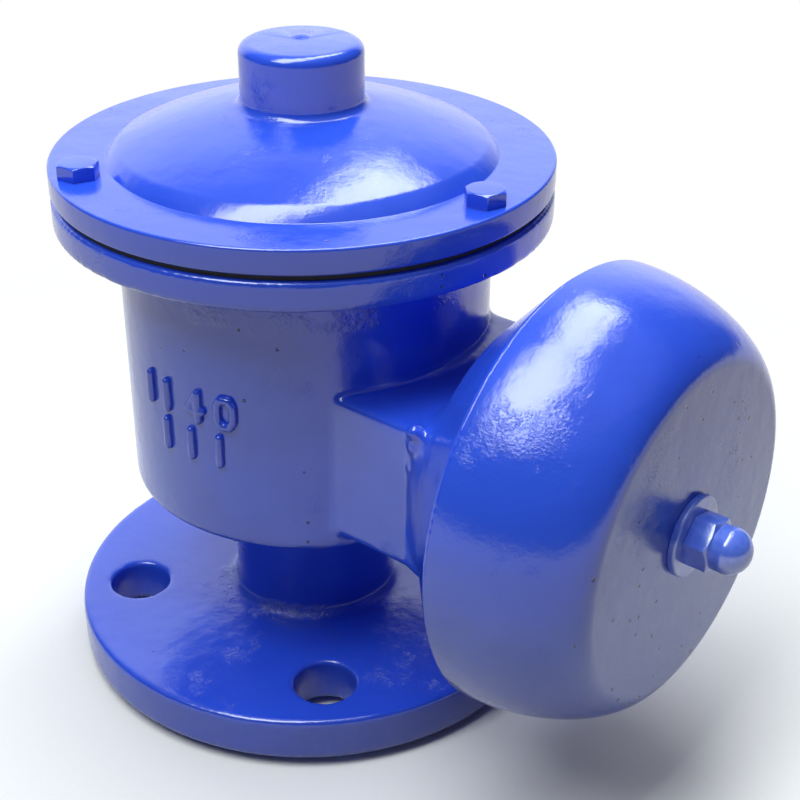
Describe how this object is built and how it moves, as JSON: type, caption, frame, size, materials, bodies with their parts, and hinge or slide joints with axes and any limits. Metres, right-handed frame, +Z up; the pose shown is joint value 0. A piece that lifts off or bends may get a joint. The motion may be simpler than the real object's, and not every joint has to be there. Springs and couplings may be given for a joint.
{
  "type": "flame arrester breather valve",
  "caption": "Flanged tank breather valve with guided pressure and vacuum pallets and a crimped flame arrester under a bell-shaped hood.",
  "frame": {"origin": "centre of the inlet bore at the face of the inlet flange", "axes": "+Z up along the inlet bore and the pallet guide, +X along the side duct towards the hood"},
  "size_m": [0.2173, 0.145, 0.1873],
  "materials": {
    "blue_paint": "gloss",
    "gasket": "matte",
    "seal_rubber": "satin",
    "turned_aluminium": "satin",
    "bronze": "satin",
    "stainless_steel": "satin"
  },
  "bodies": {
    "valve_body": {"body_casting": "blue_paint", "seat_ring": "stainless_steel", "cover_gasket": "gasket", "cover": "blue_paint", "cover_screws": "blue_paint", "guide_bush": "bronze", "element_gasket": "gasket", "rear_grid": "stainless_steel", "front_grid": "stainless_steel", "element_casing": "stainless_steel", "element_core": "stainless_steel", "flame_element": "stainless_steel", "centre_stud": "stainless_steel", "element_washer": "stainless_steel", "element_nut": "stainless_steel", "hood": "blue_paint", "hood_washer": "blue_paint", "cap_nut": "blue_paint"},
    "pressure_valve": {"pressure_pallet": "turned_aluminium", "guide_tube": "turned_aluminium", "pressure_seal": "seal_rubber", "weight_ring": "stainless_steel", "weight_screws": "stainless_steel", "vacuum_spring": "stainless_steel"},
    "vacuum_valve": {"vacuum_pallet": "turned_aluminium", "vacuum_seal": "seal_rubber", "vacuum_stem": "stainless_steel", "spring_retainer": "stainless_steel", "stem_nuts": "stainless_steel"}
  },
  "joints": [
    {"name": "pressure_lift", "type": "slide", "parent": "valve_body", "child": "pressure_valve", "axis": [0, 0, 1], "range_m": [0, 0.01]},
    {"name": "vacuum_drop", "type": "slide", "parent": "pressure_valve", "child": "vacuum_valve", "axis": [0, 0, -1], "range_m": [0, 0.008], "stiffness_N_per_m": 190, "springref_m": -0.0029, "deforming": ["vacuum_spring"]}
  ]
}
